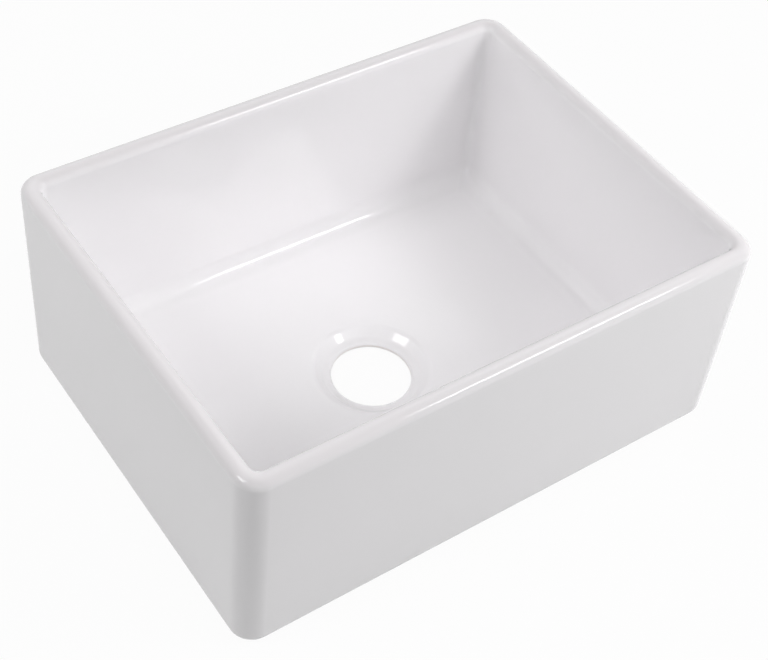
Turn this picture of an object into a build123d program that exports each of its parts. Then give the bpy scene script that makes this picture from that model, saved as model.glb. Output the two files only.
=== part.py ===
from build123d import *
import os
from math import atan, cos, radians, sin, tan

# Farmhouse apron front sink: one fireclay casting with a glaze coat fired onto it.
# All sizes are in millimetres. The origin is on the surface that the sink stands on,
# under the middle of the bowl. +X runs to the right along the apron, the apron faces -Y,
# and +Z is up.

# ---- Overall block -------------------------------------------------------------------
sink_width = 610.0              # along the apron, 24 in. class
sink_depth = 460.0              # apron to back, 18 in. class
sink_height = 254.0             # foot to rim, 10 in.
outside_corner_radius = 25.0    # upright corners
rim_outside_radius = 7.5        # top edge, outer arris
rim_inside_radius = 6.0         # top edge, where the rim turns into the bowl
foot_edge_radius = 14.0         # bottom edge, all round

# ---- Bowl ----------------------------------------------------------------------------
rim_wall = 20.0                 # wall at the rim
wall_draft = 2.0                # how much thicker the wall is at the floor
bowl_corner_radius = 9.0        # upright corners, the same from the rim to the floor
cove_radius = 24.0              # walls into the floor
floor_thickness = 25.0          # at the foot of the walls
floor_land = 4.0                # level band between the cove and the falls
floor_fall = 7.5                # drop from the land to the level patch round the drain
patch_margin = 4.0              # level band between the drain seat and the falls

# ---- Drain seat ----------------------------------------------------------------------
outlet_radius = 45.25           # hole for a 3 1/2 in. basket strainer
lip_radius_on_plan = 61.0       # virtual corner where the patch drops into the seat
lip_rounding = 7.0
lip_slope = 45.0                # degrees below level
seat_depth = 6.5                # from the level patch to the foot of the slope
seat_slope = 8.0                # degrees below level, so that the seat drains
outlet_bevel = 2.0              # top arris of the outlet hole
outlet_bevel_slope = 50.0       # degrees below level
outlet_chamfer = 1.5            # bottom arris of the outlet hole

# ---- Underside -----------------------------------------------------------------------
foot_width = 38.0               # flat bearing ring round the bottom
underside_recess = 6.0          # height of the hollow inside the foot
recess_corner_radius = 24.0
recess_chamfer = 3.0
boss_radius = 72.0              # flat pad that the strainer's nut pulls up against
boss_clearance = 3.0            # boss face above the bearing plane

# ---- Glaze ---------------------------------------------------------------------------
glaze_thickness = 1.0
glaze_line = 4.0                # the coat stops this far above the bearing plane
rim_cut = 0.55                  # the clay's rim is cut at 45 degrees: legs per radius over it

# ---- Worked out from the sizes above -------------------------------------------------
patch_level = floor_thickness - floor_fall
patch_reach = lip_radius_on_plan + lip_rounding + patch_margin
draft_angle = atan(wall_draft / (sink_height - floor_thickness))
overshoot = 10.0                # how far a cutting form runs past what it cuts
upright = (Align.CENTER, Align.CENTER, Align.MIN)


def rounded_slab(length, width, radius, low, high):
    """A straight-sided block with rounded upright corners, from low to high."""
    outline = RectangleRounded(length, width, radius)
    return extrude(Pos(0, 0, low) * outline, high - low)


def level_edges(solid, height, inside):
    """The edges of a solid that lie level at a height, in the bowl or round the outside."""
    found = solid.edges().filter_by_position(Axis.Z, height - 0.01, height + 0.01)
    reach_x = (sink_width - rim_wall) / 2
    reach_y = (sink_depth - rim_wall) / 2
    chosen = ShapeList()
    for edge in found:
        middle = edge.position_at(0.5)
        in_bowl = abs(middle.X) < reach_x and abs(middle.Y) < reach_y
        if in_bowl == inside:
            chosen.append(edge)
    return chosen


def outside_form(skin):
    """The outer block, with every face moved in by skin."""
    length = sink_width - 2 * skin
    width = sink_depth - 2 * skin
    block = rounded_slab(length, width, outside_corner_radius - skin, skin, sink_height - skin)
    return fillet(level_edges(block, skin, False), foot_edge_radius - skin)


def flat_face(*points):
    """A flat face between corner points."""
    return make_face(Polyline(*points, close=True))


def flat_sided(lower, upper):
    """A solid between two level polygons with as many corners each."""
    faces = [flat_face(*lower), flat_face(*upper)]
    for i in range(len(lower)):
        faces.append(flat_face(lower[i - 1], lower[i], upper[i], upper[i - 1]))
    return Solid(Shell(faces))


def level_rectangle(half_x, half_y, height):
    """The corners of a level rectangle about the middle, in order."""
    signs = [(1, 1), (-1, 1), (-1, -1), (1, -1)]
    return [Vector(sx * half_x, sy * half_y, height) for sx, sy in signs]


def mirrored_to_quarters(faces):
    """The faces of one quarter of the bowl and their mirror images in the other three."""
    left = [face.mirror(Plane.YZ) for face in faces]
    back_half = faces + left
    return back_half + [face.mirror(Plane.XZ) for face in back_half]


def walls_and_cove(skin):
    """The bowl's space down to the edge of its floor, with every face moved out by skin.

    One quarter is made of faces and mirrored. The walls are flat and lean outwards. The coves
    are cylinders. The upright corners keep one radius, so below the walls the round runs down
    and inwards along the mitre of two coves: the arc of the corner carried along the arc of
    the cove, which a patch with three rows of three weighted points follows exactly.
    """
    bend = cove_radius + skin
    round_off = bowl_corner_radius + skin
    top = sink_height + overshoot
    middle = cove_middle()
    half_turn = (radians(90) - draft_angle) / 2
    start = Vector(cos(draft_angle), -sin(draft_angle)) * bend
    crown = Vector(cos(draft_angle + half_turn), -sin(draft_angle + half_turn)) * bend
    end = Vector(0, -bend)
    shoulder = crown / cos(half_turn)
    mitre = [middle + Vector(out.X, out.X, out.Y) for out in (start, shoulder, end)]
    across = [Vector(0, -round_off), Vector(0, 0), Vector(-round_off, 0)]
    patch = Face.make_bezier_surface(
        [[corner + step for corner in mitre] for step in across],
        [[a * b for b in (1, cos(half_turn), 1)] for a in (1, cos(radians(45)), 1)],
    )
    rise = Vector(tan(draft_angle), tan(draft_angle), 1) * (top - mitre[0].Z)
    on_side = mitre[0] + across[0]
    on_back = mitre[0] + across[2]
    corner = Face.extrude(corner_arc(mitre[0], round_off), rise)
    side_wall = upright_face(on_side, on_side + rise, Vector(1, 0, 1))
    back_wall = upright_face(on_back, on_back + rise, Vector(0, 1, 1))
    profile = (start, crown, end)
    side_arc = ThreePointArc(*[Vector(middle.X + p.X, 0, middle.Z + p.Y) for p in profile]).edge()
    back_arc = ThreePointArc(*[Vector(0, middle.Y + p.X, middle.Z + p.Y) for p in profile]).edge()
    side_cove = Face.extrude(side_arc, Vector(0, sink_depth))
    back_cove = Face.extrude(back_arc, Vector(sink_width, 0))
    side_cut = Plane(mitre[2] + across[0], z_dir=(-1, 1, 0))
    back_cut = Plane(mitre[2] + across[2], z_dir=(1, -1, 0))
    side_cove = split(side_cove, bisect_by=side_cut, keep=Keep.BOTTOM)
    back_cove = split(back_cove, bisect_by=back_cut, keep=Keep.BOTTOM)
    floor = corner_face(mitre[2], round_off)
    opening = corner_face(mitre[0] + rise, round_off)
    quarter = [patch, corner, side_wall, back_wall, floor, opening]
    quarter += side_cove.faces() + back_cove.faces()
    return Solid(Shell(mirrored_to_quarters(quarter)))


def cove_middle():
    """Where the centre lines of the side cove and the back cove cross."""
    height = floor_thickness + cove_radius
    wall_inset = rim_wall + (sink_height - height) * tan(draft_angle)
    reach = wall_inset + cove_radius / cos(draft_angle)
    return Vector(sink_width / 2 - reach, sink_depth / 2 - reach, height)


def upright_face(low, high, keep):
    """Half a wall of the bowl: from an upright line beside the corner to the sink's middle."""
    low_middle = Vector(low.X * keep.X, low.Y * keep.Y, low.Z)
    high_middle = Vector(high.X * keep.X, high.Y * keep.Y, high.Z)
    return flat_face(low, high, high_middle, low_middle)


def corner_arc(corner, round_off):
    """The level arc that rounds off a corner of the right back quarter, from side to back."""
    bulge = corner - Vector(1, 1) * round_off * (1 - cos(radians(45)))
    ends = corner - Vector(0, round_off), corner - Vector(round_off, 0)
    return ThreePointArc(ends[0], bulge, ends[1]).edge()


def corner_face(corner, round_off):
    """A quarter of a level rectangle with a rounded corner."""
    arc = corner_arc(corner, round_off)
    middle = Vector(0, 0, corner.Z)
    side_middle = Vector(corner.X, 0, corner.Z)
    back_middle = Vector(0, corner.Y, corner.Z)
    rest = Polyline(arc @ 1, back_middle, middle, side_middle, arc @ 0)
    return make_face(arc + rest)


def floor_falls(skin):
    """Four flat falls from the land round the floor to the level patch at the drain."""
    edge = cove_middle()
    patch = level_rectangle(patch_reach, patch_reach, patch_level - skin)
    land = level_rectangle(edge.X - floor_land, edge.Y - floor_land, floor_thickness - skin)
    return flat_sided(patch, land)


def mitred(corner, skin, slope_before, slope_after):
    """A corner of the seat's outline once the lines that meet there move out by skin."""
    middle = radians(slope_before + slope_after) / 2
    spread = radians(slope_before - slope_after) / 2
    across = skin * sin(middle) / cos(spread)
    drop = skin * cos(middle) / cos(spread)
    return corner[0] + across, corner[1] - drop


def drain_seat(skin):
    """The dished seat for the strainer's flange, turned about the outlet's axis.

    The glaze rounds the lip and thins over it. The clay under it keeps a plain arris.
    """
    toe_radius = lip_radius_on_plan - seat_depth / tan(radians(lip_slope))
    toe_level = patch_level - seat_depth
    bevel_radius = outlet_radius + outlet_bevel
    bevel_level = toe_level - (toe_radius - bevel_radius) * tan(radians(seat_slope))
    coat_end = bevel_level - outlet_bevel * tan(radians(outlet_bevel_slope))
    start = (lip_radius_on_plan + lip_rounding, patch_level - skin)
    lip = mitred((lip_radius_on_plan, patch_level), skin, 0, lip_slope)
    toe = mitred((toe_radius, toe_level), skin, lip_slope, seat_slope)
    bevel = mitred((bevel_radius, bevel_level), skin, seat_slope, outlet_bevel_slope)
    hole = mitred((outlet_radius, coat_end), skin, outlet_bevel_slope, 90)
    lip_curve = FilletPolyline(start, lip, toe, radius=lip_rounding)
    if skin:
        lip_curve = Polyline(start, lip, toe)
    rest = Polyline(toe, bevel, hole, (0, hole[1]), (0, patch_level - skin), start)
    return revolve(Plane.XZ * make_face(lip_curve + rest), Axis.Z)


def bowl_form(skin):
    """The whole space of the bowl, with every face moved out into the clay by skin."""
    return walls_and_cove(skin) + floor_falls(skin) + drain_seat(skin)


def outlet_form():
    """The drain hole through the floor, with its lower arris chamfered."""
    hole = Pos(0, 0, -overshoot) * Cylinder(outlet_radius, patch_level + overshoot, align=upright)
    flare_low = Pos(0, 0, boss_clearance - outlet_chamfer)
    flare = flare_low * Cone(
        outlet_radius + 2 * outlet_chamfer, outlet_radius, 2 * outlet_chamfer, align=upright
    )
    return hole + flare


def underside_form():
    """The hollow inside the foot, round the boss under the outlet."""
    length = sink_width - 2 * foot_width
    width = sink_depth - 2 * foot_width
    hollow = rounded_slab(length, width, recess_corner_radius, -overshoot, underside_recess)
    hollow = chamfer(hollow.faces().sort_by(Axis.Z)[-1].edges(), recess_chamfer)
    boss = Pos(0, 0, boss_clearance) * Cylinder(boss_radius, underside_recess, align=upright)
    return hollow - boss


def hollowed(skin):
    """The block with its bowl, all moved in by skin.

    The glaze rounds both edges of the rim. On the clay under it they are cut at 45 degrees.
    """
    form = outside_form(skin) - bowl_form(skin)
    rim = sink_height - skin
    if skin:
        form = chamfer(level_edges(form, rim, False), rim_cut * rim_outside_radius)
        return chamfer(level_edges(form, rim, True), rim_cut * rim_inside_radius)
    form = fillet(level_edges(form, rim, False), rim_outside_radius)
    return fillet(level_edges(form, rim, True), rim_inside_radius)


def fireclay_body(finished):
    """The fired clay: the finished sink less its coat, but full size below the glaze line."""
    below_line = Pos(0, 0, -overshoot) * Box(
        2 * sink_width, 2 * sink_depth, glaze_line + overshoot, align=upright
    )
    return hollowed(glaze_thickness) + (finished & below_line)


def write(solid, node):
    """Keep one named piece of the sink as its own file."""
    solid.label = node
    export_step(solid, os.path.join("parts", node + ".step"))
    print(node, "volume", round(solid.volume / 1000), "cm3")


os.makedirs("parts", exist_ok=True)
open_space = outlet_form() + underside_form()
finished_sink = hollowed(0)
clay = fireclay_body(finished_sink)
coat = finished_sink - clay - open_space
write(clay - open_space, "fireclay_body")
write(coat, "glaze_coat")
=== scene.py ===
from math import cos, radians, sin, tan

import bmesh
import bpy
from mathutils import Matrix, Vector


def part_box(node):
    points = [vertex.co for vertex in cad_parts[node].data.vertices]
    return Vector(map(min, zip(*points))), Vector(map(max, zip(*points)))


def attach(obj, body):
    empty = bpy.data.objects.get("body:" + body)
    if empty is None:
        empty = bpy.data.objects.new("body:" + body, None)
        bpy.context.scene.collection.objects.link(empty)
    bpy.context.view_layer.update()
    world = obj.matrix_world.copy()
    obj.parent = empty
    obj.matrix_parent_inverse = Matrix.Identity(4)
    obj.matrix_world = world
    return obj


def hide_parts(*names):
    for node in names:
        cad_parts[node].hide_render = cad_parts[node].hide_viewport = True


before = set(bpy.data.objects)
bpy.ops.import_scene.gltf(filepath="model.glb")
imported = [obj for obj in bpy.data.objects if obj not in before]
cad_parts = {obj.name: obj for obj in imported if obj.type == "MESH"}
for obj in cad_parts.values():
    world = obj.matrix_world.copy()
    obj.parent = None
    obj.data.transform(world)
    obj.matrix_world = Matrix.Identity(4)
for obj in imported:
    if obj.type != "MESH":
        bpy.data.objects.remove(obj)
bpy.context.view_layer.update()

# ======================================================================================
# The fireclay body: one thick casting of grogged fireclay, poured in a plaster mould,
# fettled by hand and fired once with its glaze. Bare buff clay shows on the foot and on
# the underside. It stands on that foot, and nothing else is fitted to it.
# ======================================================================================
mm = 0.001
near = 0.05 * mm  # how close counts as being at a level, on a wall or on a ring

_, cad_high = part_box("glaze_coat")
half_width = cad_high[0]
half_depth = cad_high[1]
rim_level = cad_high[2]
outside_corner = 25 * mm
rim_outer_round = 9.5 * mm
rim_inner_round = 9.5 * mm
foot_round = 14 * mm

rim_wall = 20 * mm
bowl_x = half_width - rim_wall
bowl_y = half_depth - rim_wall
bowl_corner = 9 * mm
cove = 24 * mm
floor_level = 25 * mm
wall_lean = 2 * mm / (rim_level - floor_level)
land = 4 * mm

patch_level = 20 * mm
patch_radius = 76 * mm
lip_radius = 66.5 * mm
lip_round = 4 * mm
toe_radius = 54.5 * mm
toe_level = 10.5 * mm
toe_round = 2 * mm
seat_slope = radians(8)
arris_radius = 47.25 * mm
arris_level = toe_level - (toe_radius - arris_radius) * tan(seat_slope)
arris_round = 0.8 * mm
outlet_radius = 45.25 * mm
coat_end = arris_level - 2.4 * mm

boss_level = 3 * mm
boss_radius = 72 * mm
outlet_chamfer = 1.5 * mm
foot_width = 38 * mm
hollow_x = half_width - foot_width
hollow_y = half_depth - foot_width
hollow_corner = 24 * mm
hollow_level = 6 * mm
hollow_chamfer = 3 * mm

glaze_thickness = 1 * mm
glaze_line = foot_round * (1 - sin(radians(45)))

corner_steps = 12
long_side_steps = 28
short_side_steps = 20
ring_steps = 4 * corner_steps + 2 * long_side_steps + 2 * short_side_steps
outside_steps = 4
bowl_wall_steps = 5
cove_steps = 12
fall_steps = 15
ceiling_steps = 6
round_steps = 8
sponge_strokes = 12


def pick(test):
    """Selects what has only points that pass a test, in the mesh being edited."""
    bpy.ops.mesh.select_all(action="DESELECT")
    form = bmesh.from_edit_mesh(bpy.context.edit_object.data)
    for point in form.verts:
        point.select_set(bool(test(point.co)))
    form.select_flush(True)
    bmesh.update_edit_mesh(bpy.context.edit_object.data)


def at(point, level):
    """Whether a point is at a level."""
    return abs(point.z - level) < near


def off_axis(point):
    """How far a point stands from the axis of the drain."""
    return Vector((point.x, point.y)).length


def within(point, half_x, half_y):
    """Whether a point is inside an upright box about the axis, or on it."""
    return abs(point.x) < half_x + near and abs(point.y) < half_y + near


def outside(point, half_x, half_y, corner):
    """How far a point stands outside an upright wall with rounded corners."""
    over_x = max(abs(point.x) - half_x + corner, 0)
    over_y = max(abs(point.y) - half_y + corner, 0)
    return Vector((over_x, over_y)).length - corner


def on_wall(point, half_x, half_y, corner):
    """Whether a point is on an upright wall with rounded corners."""
    return abs(outside(point, half_x, half_y, corner)) < near


def add_outline(half_x, half_y, corner, level):
    """Adds a level ring with rounded corners, cut into the number of edges of every ring."""
    bpy.ops.mesh.select_all(action="DESELECT")
    bpy.ops.mesh.primitive_plane_add(size=2, location=(0, 0, level))
    bpy.ops.transform.resize(value=(half_x, half_y, 1), center_override=(0, 0, level))
    bpy.ops.mesh.bevel(affect="VERTICES", offset=corner, segments=corner_steps, profile=0.5)
    bpy.ops.mesh.delete(type="ONLY_FACE")
    flat_x = half_x - corner + near
    flat_y = half_y - corner + near
    pick(lambda p: at(p, level) and abs(abs(p.y) - half_y) < near and abs(p.x) < flat_x)
    bpy.ops.mesh.subdivide(number_cuts=long_side_steps - 1)
    pick(lambda p: at(p, level) and abs(abs(p.x) - half_x) < near and abs(p.y) < flat_y)
    bpy.ops.mesh.subdivide(number_cuts=short_side_steps - 1)
    pick(lambda p: at(p, level) and on_wall(p, half_x, half_y, corner))


def carry_ring(run):
    """Extrudes the selected ring through a run of (half length, half width, level)."""
    for before, after in zip(run, run[1:]):
        fall = (0, 0, after[2] - before[2])
        bpy.ops.mesh.extrude_region_move(TRANSFORM_OT_translate={"value": fall})
        stretch = (after[0] / before[0], after[1] / before[1], 1)
        bpy.ops.transform.resize(value=stretch, center_override=(0, 0, after[2]))


def join_level(level, inner_x, inner_y, steps=1):
    """Joins the two rings at a level. The inner one is lifted meanwhile, so they face."""
    lift = 1 * mm
    pick(lambda p: at(p, level) and within(p, inner_x, inner_y))
    bpy.ops.transform.translate(value=(0, 0, lift))
    lifted = level + lift
    pick(lambda p: at(p, level) or at(p, lifted) and within(p, inner_x, inner_y))
    bpy.ops.mesh.bridge_edge_loops(number_cuts=steps - 1, interpolation="LINEAR")
    pick(lambda p: level + near < p.z < lifted + near and within(p, half_width, half_depth))
    bpy.ops.transform.resize(value=(1, 1, 0), center_override=(0, 0, level))


bpy.ops.object.select_all(action="DESELECT")
bpy.ops.mesh.primitive_plane_add(size=1)
body = bpy.context.object
body.name = "fireclay_casting"
body.data.name = "fireclay_casting"
bpy.ops.object.mode_set(mode="EDIT")
bpy.ops.mesh.select_mode(type="VERT")
bpy.ops.mesh.delete(type="VERT")

# The form is made at the finished size, and is later drawn in by the thickness of the glaze.
# The outside is the foot's outline drawn straight up to the rim.
add_outline(half_width, half_depth, outside_corner, 0)
outside_levels = [rim_level * step / outside_steps for step in range(outside_steps + 1)]
carry_ring([(half_width, half_depth, level) for level in outside_levels])

# The bowl's outline is let down from the rim: the leaning walls, the cove and the land.
add_outline(bowl_x, bowl_y, bowl_corner, rim_level)
cove_top = floor_level + cove
drop = rim_level - cove_top
bowl_run = []
for step in range(bowl_wall_steps + 1):
    lean = wall_lean * drop * step / bowl_wall_steps
    bowl_run.append((bowl_x - lean, bowl_y - lean, rim_level - drop * step / bowl_wall_steps))
wall_foot_x, wall_foot_y, _ = bowl_run[-1]
for step in range(1, cove_steps + 1):
    sweep = radians(90 * step / cove_steps)
    inset = cove * (1 - cos(sweep))
    level = cove_top - cove * sin(sweep)
    bowl_run.append((wall_foot_x - inset, wall_foot_y - inset, level))
land_x = wall_foot_x - cove - land
land_y = wall_foot_y - cove - land
bowl_run.append((land_x, land_y, floor_level))
carry_ring(bowl_run)
join_level(rim_level, bowl_x, bowl_y)

# The drain is a ring on the level patch, let down the lip and the slope to the seat, through
# the hole, and out over the boss under the floor.
bpy.ops.mesh.select_all(action="DESELECT")
bpy.ops.mesh.primitive_circle_add(
    vertices=ring_steps, radius=patch_radius, fill_type="NOTHING", location=(0, 0, patch_level)
)
drain_run = [
    (patch_radius, patch_level),
    (lip_radius, patch_level),
    (toe_radius, toe_level),
    (arris_radius, arris_level),
    (outlet_radius, coat_end),
    (outlet_radius, boss_level + outlet_chamfer),
    (outlet_radius + outlet_chamfer, boss_level),
    (boss_radius, boss_level),
    (boss_radius, hollow_level),
]
carry_ring([(radius, radius, level) for radius, level in drain_run])
pick(lambda p: at(p, floor_level) and within(p, land_x, land_y) or (
    at(p, patch_level) and off_axis(p) > patch_radius - near))
bpy.ops.mesh.bridge_edge_loops(number_cuts=fall_steps - 1, interpolation="LINEAR")

# The hollow of the underside is let down from its ceiling to the bearing face of the foot.
ceiling_x = hollow_x - hollow_chamfer
ceiling_y = hollow_y - hollow_chamfer
add_outline(ceiling_x, ceiling_y, hollow_corner - hollow_chamfer, hollow_level)
side_level = hollow_level - hollow_chamfer
carry_ring([(ceiling_x, ceiling_y, hollow_level), (hollow_x, hollow_y, side_level)])
carry_ring([(hollow_x, hollow_y, side_level), (hollow_x, hollow_y, 0)])
join_level(hollow_level, boss_radius, boss_radius, ceiling_steps)
join_level(0, hollow_x, hollow_y)


def round_off(reach, test):
    """Rounds the edge between points that pass a test, back to a reach on both its faces."""
    pick(test)
    bpy.ops.mesh.bevel(
        affect="EDGES", offset=reach, segments=round_steps, profile=0.5, clamp_overlap=False
    )


def on_ring(point, radius, level):
    """Whether a point is on one of the drain's rings."""
    return at(point, level) and abs(off_axis(point) - radius) < near


# The edges are rounded: the rim outside and inside, the foot, and the drain's three rings.
round_off(rim_outer_round, lambda p: at(p, rim_level) and (
    on_wall(p, half_width, half_depth, outside_corner)))
round_off(rim_inner_round, lambda p: at(p, rim_level) and on_wall(p, bowl_x, bowl_y, bowl_corner))
round_off(foot_round, lambda p: at(p, 0) and on_wall(p, half_width, half_depth, outside_corner))
round_off(lip_round, lambda p: on_ring(p, lip_radius, patch_level))
round_off(toe_round, lambda p: on_ring(p, toe_radius, toe_level))
round_off(arris_round, lambda p: on_ring(p, arris_radius, arris_level))

# The floor is sponged smooth, so that land, falls and patch run into each other.
pick(lambda p: patch_level - near < p.z < floor_level + near and (
    within(p, land_x, land_y) and off_axis(p) > lip_radius + lip_round))
bpy.ops.mesh.vertices_smooth(factor=0.5, repeat=sponge_strokes)
bpy.ops.mesh.select_all(action="SELECT")
bpy.ops.mesh.normals_make_consistent(inside=False)


def takes_glaze(point):
    """Whether glaze covers a point: above the glaze line outside, and down into the hole."""
    beside_hollow = outside(point, hollow_x, hollow_y, hollow_corner) > 1 * mm
    return point.z > coat_end - near or beside_hollow and point.z > glaze_line - near


# The coat's skin is lifted off the finished form, and the clay is drawn in under it.
pick(takes_glaze)
bpy.ops.mesh.duplicate()
bpy.ops.mesh.separate(type="SELECTED")
pick(takes_glaze)
bpy.ops.transform.shrink_fatten(value=-glaze_thickness, use_even_offset=True)
bpy.ops.object.mode_set(mode="OBJECT")


def bake(piece, name, kind, **settings):
    """Adds a modifier with its settings to a piece and applies it."""
    added = piece.modifiers.new(name, kind)
    for setting, value in settings.items():
        setattr(added, setting, value)
    bpy.ops.object.select_all(action="DESELECT")
    piece.select_set(True)
    bpy.context.view_layer.objects.active = piece
    bpy.ops.object.modifier_apply(modifier=name)


# Arrises left by the mould and the knife are wiped with a wet sponge.
sponged_arris = 0.8 * mm
bake(
    body, "sponged_arrises", "BEVEL",
    width=sponged_arris, segments=3, limit_method="ANGLE", angle_limit=radians(35),
)
bpy.ops.object.shade_smooth()
bake(body, "flat_faces_lead", "WEIGHTED_NORMAL", weight=80)


def colour(code):
    """Turns an sRGB hex code into the linear colour that a shader takes."""
    channels = [int(code[place:place + 2], 16) / 255 for place in (1, 3, 5)]
    return [c / 12.92 if c < 0.04045 else ((c + 0.055) / 1.055) ** 2.4 for c in channels] + [1]


def add_node(tree, kind, inputs=None, **settings):
    """Adds a node with its settings; each input takes a value or another node's output."""
    added = tree.nodes.new(kind)
    for setting, value in settings.items():
        setattr(added, setting, value)
    for name, value in (inputs or {}).items():
        if isinstance(value, bpy.types.NodeSocket):
            tree.links.new(value, added.inputs[name])
        else:
            added.inputs[name].default_value = value
    return added


def new_material(name):
    """Starts a material with an empty node tree, and returns both."""
    made = bpy.data.materials.new(name)
    made.use_nodes = True
    made.node_tree.nodes.clear()
    return made, made.node_tree


# Biscuit fireclay, sponged and unglazed: a dry buff with paler and browner cloudings about
# 45 mm across, grog grains of 1.6 mm standing in it, and a fine gritty tooth of 0.5 mm that
# gives no gloss at all.
cloud_width = 45 * mm
grog_width = 1.6 * mm
tooth_width = 0.5 * mm
biscuit, tree = new_material("biscuit_fireclay_sponged")
place = add_node(tree, "ShaderNodeTexCoord").outputs["Object"]
clouds = add_node(
    tree, "ShaderNodeTexNoise",
    {"Vector": place, "Scale": 1 / cloud_width, "Detail": 4, "Roughness": 0.55},
)
grog = add_node(tree, "ShaderNodeTexVoronoi", {"Vector": place, "Scale": 1 / grog_width})
tooth = add_node(
    tree, "ShaderNodeTexNoise",
    {"Vector": place, "Scale": 1 / tooth_width, "Detail": 2, "Roughness": 0.6},
)
clay_tone = add_node(
    tree, "ShaderNodeMix",
    {0: clouds.outputs["Fac"], 6: colour("#CDBC9F"), 7: colour("#E2D6C1")},
    data_type="RGBA",
)
grain_edge = add_node(
    tree, "ShaderNodeMapRange",
    {"Value": grog.outputs["Distance"], "From Min": 0.2, "From Max": 0.34, "To Min": 0.75, "To Max": 0},
)
grain_kind = add_node(tree, "ShaderNodeSeparateColor", {"Color": grog.outputs["Color"]})
grain_tone = add_node(
    tree, "ShaderNodeMix",
    {0: grain_kind.outputs["Green"], 6: colour("#8E6F4E"), 7: colour("#F0E8D8")},
    data_type="RGBA",
)
grain_share = add_node(
    tree, "ShaderNodeMapRange",
    {"Value": grain_kind.outputs["Red"], "From Min": 0.62, "From Max": 0.7, "To Min": 0, "To Max": 1},
)
grains = add_node(
    tree, "ShaderNodeMath",
    {0: grain_edge.outputs["Result"], 1: grain_share.outputs["Result"]},
    operation="MULTIPLY",
)
clay_colour = add_node(
    tree, "ShaderNodeMix",
    {0: grains.outputs["Value"], 6: clay_tone.outputs[2], 7: grain_tone.outputs[2]},
    data_type="RGBA",
)
# Glaze sprayed at the bowl also dusts the wall of the drain hole white.
on_plan = add_node(
    tree, "ShaderNodeVectorMath", {0: place, 1: (1, 1, 0)}, operation="MULTIPLY"
)
from_axis = add_node(
    tree, "ShaderNodeVectorMath", {0: on_plan.outputs["Vector"]}, operation="LENGTH"
)
mist = add_node(
    tree, "ShaderNodeMapRange",
    {
        "Value": from_axis.outputs["Value"],
        "From Min": outlet_radius + 0.4 * mm, "From Max": outlet_radius + outlet_chamfer,
        "To Min": 0.92, "To Max": 0,
    },
)
misted_colour = add_node(
    tree, "ShaderNodeMix",
    {0: mist.outputs["Result"], 6: clay_colour.outputs[2], 7: colour("#F4F1F2")},
    data_type="RGBA",
)
dryness = add_node(
    tree, "ShaderNodeMapRange",
    {"Value": tooth.outputs["Fac"], "From Min": 0.3, "From Max": 0.7, "To Min": 0.82, "To Max": 0.96},
)
grain_relief = add_node(
    tree, "ShaderNodeBump",
    {"Height": grains.outputs["Value"], "Strength": 0.5, "Distance": 0.08 * mm},
)
tooth_relief = add_node(
    tree, "ShaderNodeBump",
    {
        "Height": tooth.outputs["Fac"], "Strength": 0.7, "Distance": 0.12 * mm,
        "Normal": grain_relief.outputs["Normal"],
    },
)
surface = add_node(
    tree, "ShaderNodeBsdfPrincipled",
    {
        "Base Color": misted_colour.outputs[2], "Roughness": dryness.outputs["Result"], "IOR": 1.45,
        "Normal": tooth_relief.outputs["Normal"],
    },
)
add_node(tree, "ShaderNodeOutputMaterial", {"Surface": surface.outputs["BSDF"]})
body.data.materials.clear()
body.data.materials.append(biscuit)
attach(body, "root")
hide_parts("fireclay_body")

# ======================================================================================
# The glaze coat: an opaque white fireclay glaze, sprayed about a millimetre thick over the
# clay and fused to it in the one firing. It covers the bowl, the rim and all four outside
# faces, is wiped off half-way round the foot's edge, and rolls over into the drain hole.
# ======================================================================================
coat = bpy.data.objects[body.name + ".001"]
coat.name = "white_glaze_coat"
coat.data.name = "white_glaze_coat"
coat_thickness = 0.96 * glaze_thickness  # a hair under, so that coat and clay don't meet
rolled_edge = 0.35 * mm
bake(
    coat, "sprayed_thickness", "SOLIDIFY",
    thickness=coat_thickness, offset=-1, use_even_offset=True, use_rim=True,
)
bake(
    coat, "rolled_glaze_line", "BEVEL",
    width=rolled_edge, segments=4, limit_method="ANGLE", angle_limit=radians(50),
)
bpy.ops.object.shade_smooth()
bake(coat, "flat_faces_lead", "WEIGHTED_NORMAL", weight=80)

# White opacified glaze, fired glossy: a cool white, a shade paler in clouds about 150 mm
# across where it pooled, with painted shade that greys the top 8 mm of the rim, a mirror
# gloss softened a little, and two reliefs that make its reflections swim: the
# slow unevenness of the cast wall, 90 mm from crest to crest, and the orange peel that the
# spray leaves, 5 mm from crest to crest.
pool_width = 150 * mm
wave_width = 90 * mm
peel_width = 5 * mm
# Painted shade: the glaze colour is greyed over the top 8 mm of the rim, standing in for the shade on
# the level rim.
rim_shade_from = rim_level - 8 * mm
rim_shade_full = rim_level - 1 * mm
white, tree = new_material("white_opacified_glaze_fired")
place = add_node(tree, "ShaderNodeTexCoord").outputs["Object"]
pooling = add_node(
    tree, "ShaderNodeTexNoise",
    {"Vector": place, "Scale": 1 / pool_width, "Detail": 2, "Roughness": 0.5},
)
wall_waves = add_node(
    tree, "ShaderNodeTexNoise", {"Vector": place, "Scale": 1 / wave_width, "Detail": 0}
)
orange_peel = add_node(
    tree, "ShaderNodeTexNoise",
    {"Vector": place, "Scale": 1 / peel_width, "Detail": 1, "Roughness": 0.4},
)
glaze_tone = add_node(
    tree, "ShaderNodeMix",
    {0: pooling.outputs["Fac"], 6: colour("#F4F3F4"), 7: colour("#F8F6F8")},
    data_type="RGBA",
)
# Mask of the painted shade on the rim's top, rising over its top 8 mm.
painted_rim_shade = add_node(
    tree, "ShaderNodeMapRange",
    {
        "Value": add_node(tree, "ShaderNodeSeparateXYZ", {"Vector": place}).outputs["Z"],
        "From Min": rim_shade_from, "From Max": rim_shade_full, "To Min": 0, "To Max": 1,
    },
    interpolation_type="SMOOTHSTEP",
)
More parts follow.
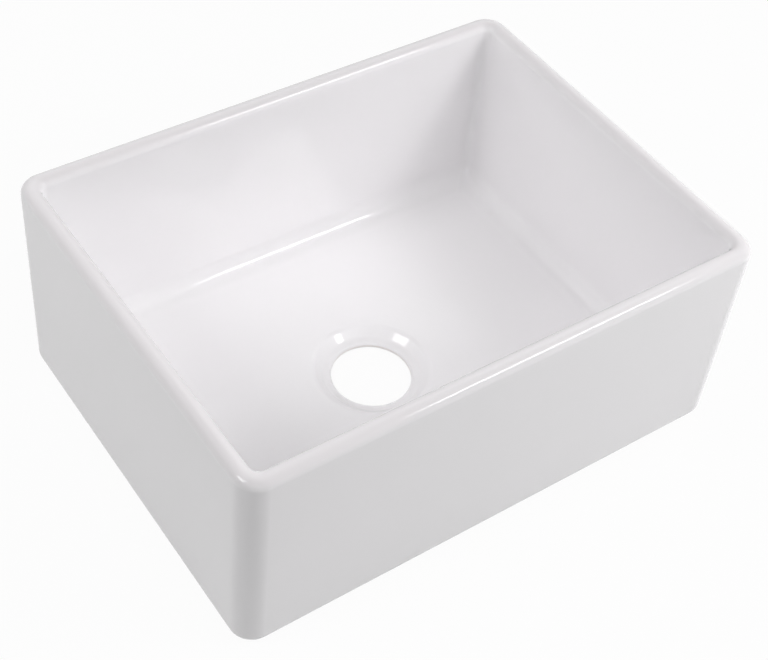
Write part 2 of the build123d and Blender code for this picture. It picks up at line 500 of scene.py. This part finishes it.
# The glaze tone with the painted shade of the rim's top mixed in.
coat_tone = add_node(
    tree, "ShaderNodeMix",
    {0: painted_rim_shade.outputs["Result"], 6: glaze_tone.outputs[2], 7: colour("#E6E3E5")},
    data_type="RGBA",
)
gloss = add_node(
    tree, "ShaderNodeMapRange",
    {"Value": pooling.outputs["Fac"], "From Min": 0.3, "From Max": 0.7, "To Min": 0.055, "To Max": 0.09},
)
wall_relief = add_node(
    tree, "ShaderNodeBump",
    {"Height": wall_waves.outputs["Fac"], "Strength": 1, "Distance": 0.35 * mm},
)
peel_relief = add_node(
    tree, "ShaderNodeBump",
    {
        "Height": orange_peel.outputs["Fac"], "Strength": 1, "Distance": 0.006 * mm,
        "Normal": wall_relief.outputs["Normal"],
    },
)
surface = add_node(
    tree, "ShaderNodeBsdfPrincipled",
    {
        "Base Color": coat_tone.outputs[2], "Roughness": gloss.outputs["Result"], "IOR": 1.5,
        "Normal": peel_relief.outputs["Normal"],
    },
)
add_node(tree, "ShaderNodeOutputMaterial", {"Surface": surface.outputs["BSDF"]})
coat.data.materials.clear()
coat.data.materials.append(white)
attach(coat, "root")
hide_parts("glaze_coat")

# ======================================================================================
# The studio: a painted floor that runs out of sight, a white surround with the dark above it,
# two softboxes that the glaze mirrors (a long key at the front right and a broad one at the
# left), and five broad fill lights that it doesn't.
# ======================================================================================
floor_span = 30
bpy.ops.object.select_all(action="DESELECT")
bpy.ops.mesh.primitive_plane_add(size=floor_span)
floor = bpy.context.object
floor.name = "studio_floor"

# Matt painted studio floor: a diffuse pale grey with faint scuffs, seen by the camera and in
# reflections as nearly full white, so that only a trace of the sink's shadow is left.
scuff_width = 400 * mm
floor_glow = 0.95
painted_floor, tree = new_material("matt_painted_studio_floor")
place = add_node(tree, "ShaderNodeTexCoord").outputs["Object"]
scuffs = add_node(
    tree, "ShaderNodeTexNoise", {"Vector": place, "Scale": 1 / scuff_width, "Detail": 3}
)
floor_tone = add_node(
    tree, "ShaderNodeMix",
    {0: scuffs.outputs["Fac"], 6: colour("#D5D5D5"), 7: colour("#DADADA")},
    data_type="RGBA",
)
matt = add_node(tree, "ShaderNodeBsdfDiffuse", {"Color": floor_tone.outputs[2]})
glow = add_node(tree, "ShaderNodeEmission", {"Color": colour("#FFFFFF"), "Strength": 1})
ray = add_node(tree, "ShaderNodeLightPath")
seen = add_node(
    tree, "ShaderNodeMath",
    {0: ray.outputs["Is Camera Ray"], 1: ray.outputs["Is Glossy Ray"]},
    operation="MAXIMUM",
)
seen_through = add_node(
    tree, "ShaderNodeMath",
    {0: seen.outputs["Value"], 1: ray.outputs["Is Transmission Ray"]},
    operation="MAXIMUM",
)
glow_share = add_node(
    tree, "ShaderNodeMapRange",
    {"Value": seen_through.outputs["Value"], "To Min": 0, "To Max": floor_glow},
)
blend = add_node(
    tree, "ShaderNodeMixShader",
    {0: glow_share.outputs["Result"], 1: matt.outputs["BSDF"], 2: glow.outputs["Emission"]},
)
add_node(tree, "ShaderNodeOutputMaterial", {"Surface": blend.outputs["Shader"]})
floor.data.materials.append(painted_floor)

# White surround: seen as white by the camera and through the drain hole, and mirrored as
# white up to the top of the backdrop, where the dark of the studio begins.
backdrop_edge = sin(radians(51))
dark_above = sin(radians(56))
world = bpy.data.worlds.new("white_surround")
world.use_nodes = True
tree = world.node_tree
tree.nodes.clear()
skyward = add_node(tree, "ShaderNodeTexCoord").outputs["Generated"]
backdrop = add_node(
    tree, "ShaderNodeMapRange",
    {
        "Value": add_node(tree, "ShaderNodeSeparateXYZ", {"Vector": skyward}).outputs["Z"],
        "From Min": backdrop_edge, "From Max": dark_above, "To Min": 1, "To Max": 0,
    },
)
ray = add_node(tree, "ShaderNodeLightPath")
in_glaze = add_node(
    tree, "ShaderNodeMath",
    {0: ray.outputs["Is Glossy Ray"], 1: backdrop.outputs["Result"]},
    operation="MULTIPLY",
)
seen = add_node(
    tree, "ShaderNodeMath",
    {0: ray.outputs["Is Camera Ray"], 1: in_glaze.outputs["Value"]},
    operation="MAXIMUM",
)
seen_through = add_node(
    tree, "ShaderNodeMath",
    {0: seen.outputs["Value"], 1: ray.outputs["Is Transmission Ray"]},
    operation="MAXIMUM",
)
surround = add_node(
    tree, "ShaderNodeBackground",
    {"Color": colour("#FFFFFF"), "Strength": seen_through.outputs["Value"]},
)
add_node(tree, "ShaderNodeOutputWorld", {"Surface": surround.outputs["Background"]})
bpy.context.scene.world = world


lamp_aim = Vector((0, 0, 120 * mm))
lamp_distance = 2.2


def add_softbox(name, bearing, height, width, depth, power, mirrored=False):
    """Adds a soft lamp that faces the sink: bearing from the apron to the right, in degrees."""
    level = cos(radians(height))
    across = sin(radians(bearing)) * level
    back = -cos(radians(bearing)) * level
    away = Vector((across, back, sin(radians(height))))
    bpy.ops.object.light_add(type="AREA", location=lamp_aim + away * lamp_distance)
    lamp = bpy.context.object
    lamp.name = name
    lamp.rotation_euler = away.to_track_quat("Z", "Y").to_euler()
    lamp.data.shape = "RECTANGLE"
    lamp.data.size = width
    lamp.data.size_y = depth
    lamp.data.energy = power
    lamp.visible_glossy = mirrored


add_softbox("key_softbox", 37.2, 38.5, 0.67, 0.32, 8.3, mirrored=True)
add_softbox("left_softbox", -96, 43, 0.9, 0.8, 13, mirrored=True)
add_softbox("key_wing", 62, 40, 1.8, 1.4, 17)
add_softbox("high_front_softbox", 0, 55, 2, 2, 17.8)
add_softbox("back_left_softbox", -125, 50, 1.6, 1.4, 4.8)
add_softbox("back_softbox", -165, 35, 1.6, 1.0, 12)
add_softbox("low_right_softbox", 85, 14, 1.0, 0.8, 10)

# The camera stands at the front left of the sink, above it, and is held slightly askew.
camera_stand = (-0.7295, -0.90312, 1.31627)
pan = -0.6866
tilt_down = 0.8155
roll = 0.1198
sensor_width = 36
frame_pixels = 768
focal_pixels = 1551.36
bpy.ops.object.camera_add(location=camera_stand)
camera = bpy.context.object
stance = (
    Matrix.Rotation(pan, 3, "Z")
    @ Matrix.Rotation(radians(90) - tilt_down, 3, "X")
    @ Matrix.Rotation(roll, 3, "Z")
)
camera.rotation_euler = stance.to_euler()
camera.data.sensor_width = sensor_width
camera.data.lens = sensor_width * focal_pixels / frame_pixels
bpy.context.scene.camera = camera
bpy.context.scene.view_settings.view_transform = "Standard"
